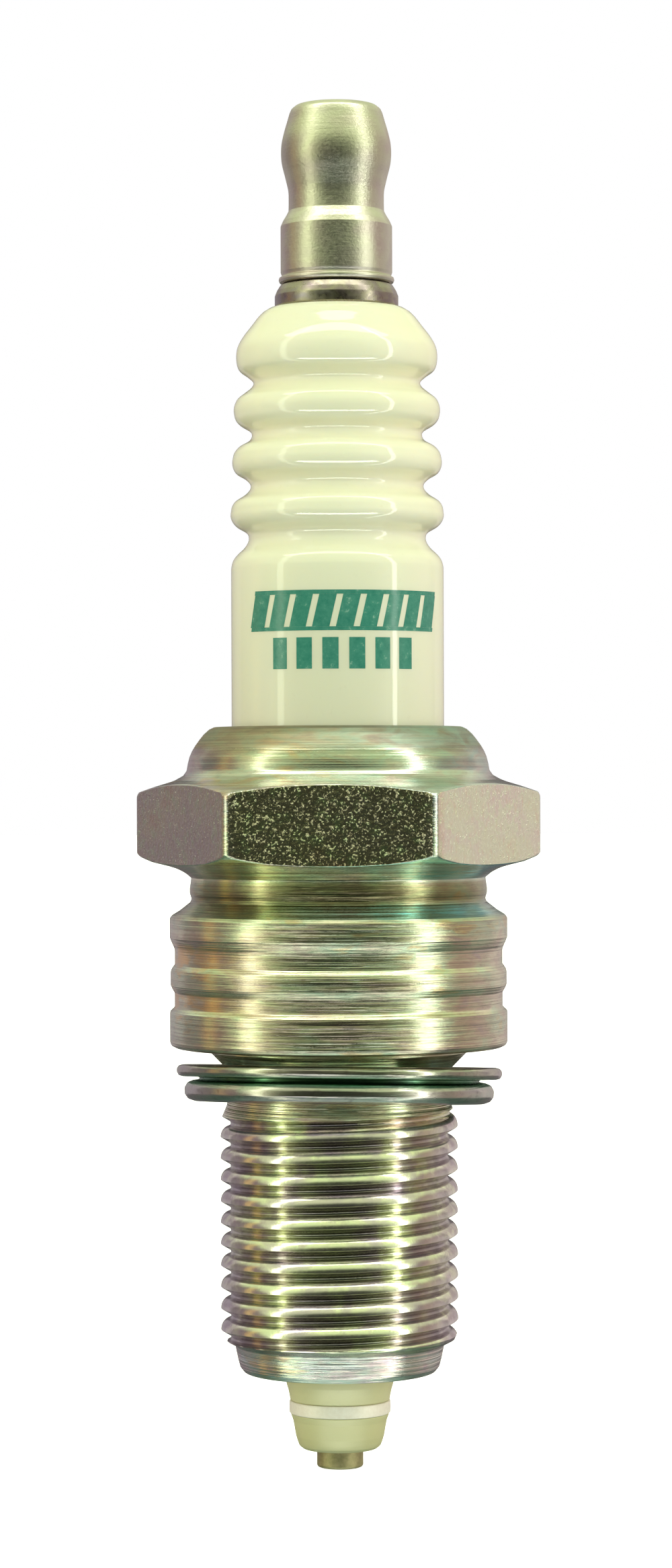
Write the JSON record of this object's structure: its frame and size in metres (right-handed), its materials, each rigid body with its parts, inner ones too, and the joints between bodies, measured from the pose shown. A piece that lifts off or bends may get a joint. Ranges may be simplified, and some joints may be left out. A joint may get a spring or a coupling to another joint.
{
  "type": "spark plug",
  "caption": "Spark plug with ribbed glazed insulator, hexagon shell, M14 thread, captive folded sealing washer and removable terminal nut.",
  "frame": {"origin": "on the plug's axis, in the plane where the sealing washer's underside rests, at the head of the M14 thread", "axes": "+Z along the axis towards the terminal, -Y out of one flat of the hexagon"},
  "size_m": [0.0236, 0.0206, 0.0799],
  "materials": {
    "nickel_plate": "nickel plated, warm grey",
    "stud_steel": "plated steel, dull purple-brown",
    "glazed_ceramic": "clear glaze over cream alumina above the shell, bare below",
    "zinc_plated_steel": "zinc plated with an iridescent passivate, fine turning lines",
    "gasket_steel": "plated strip steel",
    "nickel_alloy": "nickel alloy, brown-gold tint",
    "copper": "copper",
    "ring_alloy": "pale metal",
    "seal_glass": "conductive glass",
    "resistor_ceramic": "carbon-loaded ceramic",
    "packing_steel": "soft steel",
    "talc": "pressed talc powder"
  },
  "bodies": {
    "plug": {"terminal_stud": "stud_steel", "insulator": "glazed_ceramic", "shell": "zinc_plated_steel", "center_electrode_sheath": "nickel_alloy", "center_electrode_core": "copper", "nose_ring_electrode": "ring_alloy", "lower_glass_seal": "seal_glass", "resistor": "resistor_ceramic", "upper_glass_seal": "seal_glass", "inner_seal_washer": "packing_steel", "lower_packing_ring": "packing_steel", "talc_packing": "talc", "upper_packing_ring": "packing_steel"},
    "nut": {"terminal_nut": "nickel_plate"},
    "washer": {"outer_gasket": "gasket_steel"}
  },
  "joints": [
    {"name": "terminal_nut_travel", "type": "slide", "parent": "plug", "child": "nut", "axis": [0, 0, 1], "range_m": [0, 0.012]},
    {"name": "washer_end_play", "type": "slide", "parent": "plug", "child": "washer", "axis": [0, 0, 1], "range_m": [0, 0.0003]}
  ]
}
